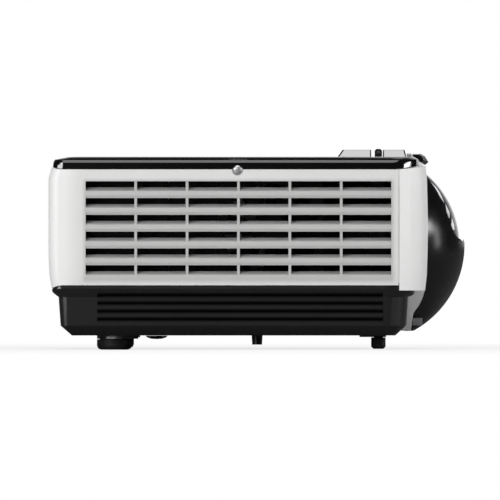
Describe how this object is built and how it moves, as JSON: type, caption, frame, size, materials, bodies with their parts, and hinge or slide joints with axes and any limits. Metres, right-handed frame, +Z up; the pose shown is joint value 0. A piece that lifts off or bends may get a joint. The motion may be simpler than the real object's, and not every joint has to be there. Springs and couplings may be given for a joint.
{
  "type": "short throw projector",
  "caption": "Short throw projector with a domed lens window, louvred lamp cover, focus lever, keypad, drop foot and levelling feet.",
  "frame": {"origin": "under the middle of the projector, on the surface that its feet stand on", "axes": "+X the way the picture is thrown, +Y away from the louvred lamp cover, +Z up"},
  "size_m": [0.2334, 0.287, 0.1127],
  "materials": {
    "white_shell": "fine satin texture",
    "gloss_black": "high gloss",
    "satin_black": "satin",
    "grey_plastic": "satin",
    "dome_glass": "polished",
    "lens_glass": "coated",
    "infrared_red": "polished",
    "light_pipe": "clear satin",
    "foot_rubber": "matt",
    "screw_steel": "plated",
    "cast_aluminium": "as cast",
    "mirror_bowl": "polished",
    "circuit_board": "solder mask"
  },
  "bodies": {
    "case": {"base_pan": "satin_black", "side_panel": "white_shell", "rear_panel": "white_shell", "front_bezel": "white_shell", "front_infrared_window": "infrared_red", "top_cover": "gloss_black", "top_infrared_window": "light_pipe", "lens_dome": "gloss_black", "dome_glass": "dome_glass", "lens_visor": "gloss_black", "lens_barrel": "satin_black", "front_lens": "lens_glass", "inner_lens": "lens_glass", "keypad_plate": "gloss_black", "key_board": "circuit_board", "status_light_strip": "light_pipe", "rubber_bumper": "foot_rubber", "optical_engine": "cast_aluminium", "colour_wheel_motor": "screw_steel", "exhaust_fan_frame": "satin_black", "blower_housing": "satin_black", "intake_filter": "satin_black", "main_board": "circuit_board", "power_board": "circuit_board", "mirror_chip_board": "circuit_board", "chip_heat_sink": "cast_aluminium", "network_socket": "screw_steel", "audio_in_socket": "grey_plastic", "audio_out_socket": "grey_plastic", "serial_socket": "grey_plastic", "computer_socket": "grey_plastic", "video_socket": "screw_steel", "power_inlet": "satin_black", "speaker": "satin_black"},
    "lamp_cover": {"lamp_cover": "white_shell"},
    "captive_screw": {"captive_screw": "screw_steel"},
    "lamp": {"lamp_cage": "satin_black", "lamp_reflector": "mirror_bowl"},
    "focus_ring": {"focus_ring": "satin_black"},
    "up_button": {"up_button": "grey_plastic"},
    "down_button": {"down_button": "grey_plastic"},
    "left_button": {"left_button": "grey_plastic"},
    "right_button": {"right_button": "grey_plastic"},
    "enter_button": {"enter_button": "grey_plastic"},
    "power_button": {"power_button": "grey_plastic"},
    "auto_button": {"auto_button": "grey_plastic"},
    "source_button": {"source_button": "grey_plastic"},
    "menu_button": {"menu_button": "grey_plastic"},
    "front_foot": {"front_foot": "foot_rubber"},
    "foot_release_button": {"foot_release_button": "satin_black"},
    "rear_foot_near": {"rear_foot_near": "foot_rubber"},
    "rear_foot_far": {"rear_foot_far": "foot_rubber"},
    "colour_wheel": {"colour_wheel": "lens_glass"},
    "exhaust_fan_rotor": {"exhaust_fan_rotor": "satin_black"},
    "blower_wheel": {"blower_wheel": "satin_black"}
  },
  "joints": [
    {"name": "lamp_cover_slide", "type": "slide", "parent": "case", "child": "lamp_cover", "axis": [0, -1, 0], "range_m": [0, 0.1]},
    {"name": "captive_screw_turn", "type": "hinge", "parent": "lamp_cover", "child": "captive_screw", "pos_m": [-0.0111, -0.1419, 0.1004], "axis": [0, -1, 0], "range_deg": [0, 1080]},
    {"name": "lamp_slide", "type": "slide", "parent": "case", "child": "lamp", "axis": [0, -1, 0], "range_m": [0, 0.066]},
    {"name": "focus_turn", "type": "hinge", "parent": "case", "child": "focus_ring", "pos_m": [0.0681, -0.045, 0.0586], "axis": [1, 0, 0], "range_deg": [-20, 20]},
    {"name": "up_press", "type": "slide", "parent": "case", "child": "up_button", "axis": [0, 0, -1], "range_m": [0, 0.0008], "stiffness_N_per_m": 700},
    {"name": "down_press", "type": "slide", "parent": "case", "child": "down_button", "axis": [0, 0, -1], "range_m": [0, 0.0008], "stiffness_N_per_m": 700},
    {"name": "left_press", "type": "slide", "parent": "case", "child": "left_button", "axis": [0, 0, -1], "range_m": [0, 0.0008], "stiffness_N_per_m": 700},
    {"name": "right_press", "type": "slide", "parent": "case", "child": "right_button", "axis": [0, 0, -1], "range_m": [0, 0.0008], "stiffness_N_per_m": 700},
    {"name": "enter_press", "type": "slide", "parent": "case", "child": "enter_button", "axis": [0, 0, -1], "range_m": [0, 0.0008], "stiffness_N_per_m": 700},
    {"name": "power_press", "type": "slide", "parent": "case", "child": "power_button", "axis": [0, 0, -1], "range_m": [0, 0.0008], "stiffness_N_per_m": 700},
    {"name": "auto_press", "type": "slide", "parent": "case", "child": "auto_button", "axis": [0, 0, -1], "range_m": [0, 0.0008], "stiffness_N_per_m": 700},
    {"name": "source_press", "type": "slide", "parent": "case", "child": "source_button", "axis": [0, 0, -1], "range_m": [0, 0.0008], "stiffness_N_per_m": 700},
    {"name": "menu_press", "type": "slide", "parent": "case", "child": "menu_button", "axis": [0, 0, -1], "range_m": [0, 0.0008], "stiffness_N_per_m": 700},
    {"name": "front_foot_drop", "type": "slide", "parent": "case", "child": "front_foot", "axis": [0, 0, -1], "range_m": [0, 0.025]},
    {"name": "foot_release_press", "type": "slide", "parent": "case", "child": "foot_release_button", "axis": [-1, 0, 0], "range_m": [0, 0.0025], "stiffness_N_per_m": 500},
    {"name": "rear_foot_near_level", "type": "slide", "parent": "case", "child": "rear_foot_near", "axis": [0, 0, -1], "range_m": [0, 0.008]},
    {"name": "rear_foot_far_level", "type": "slide", "parent": "case", "child": "rear_foot_far", "axis": [0, 0, -1], "range_m": [0, 0.008]},
    {"name": "colour_wheel_spin", "type": "hinge", "parent": "case", "child": "colour_wheel", "pos_m": [-0.0438, -0.1, 0.0495], "axis": [1, 0, 0], "continuous": true},
    {"name": "exhaust_fan_spin", "type": "hinge", "parent": "case", "child": "exhaust_fan_rotor", "pos_m": [0.008, -0.1245, 0.066], "axis": [0, 1, 0], "continuous": true},
    {"name": "blower_spin", "type": "hinge", "parent": "case", "child": "blower_wheel", "pos_m": [0.036, 0.104, 0.0132], "axis": [0, 0, 1], "continuous": true}
  ],
  "couplings": [
    {"joint": "lamp_slide", "follows": "lamp_cover_slide", "ratio": 0.65}
  ]
}
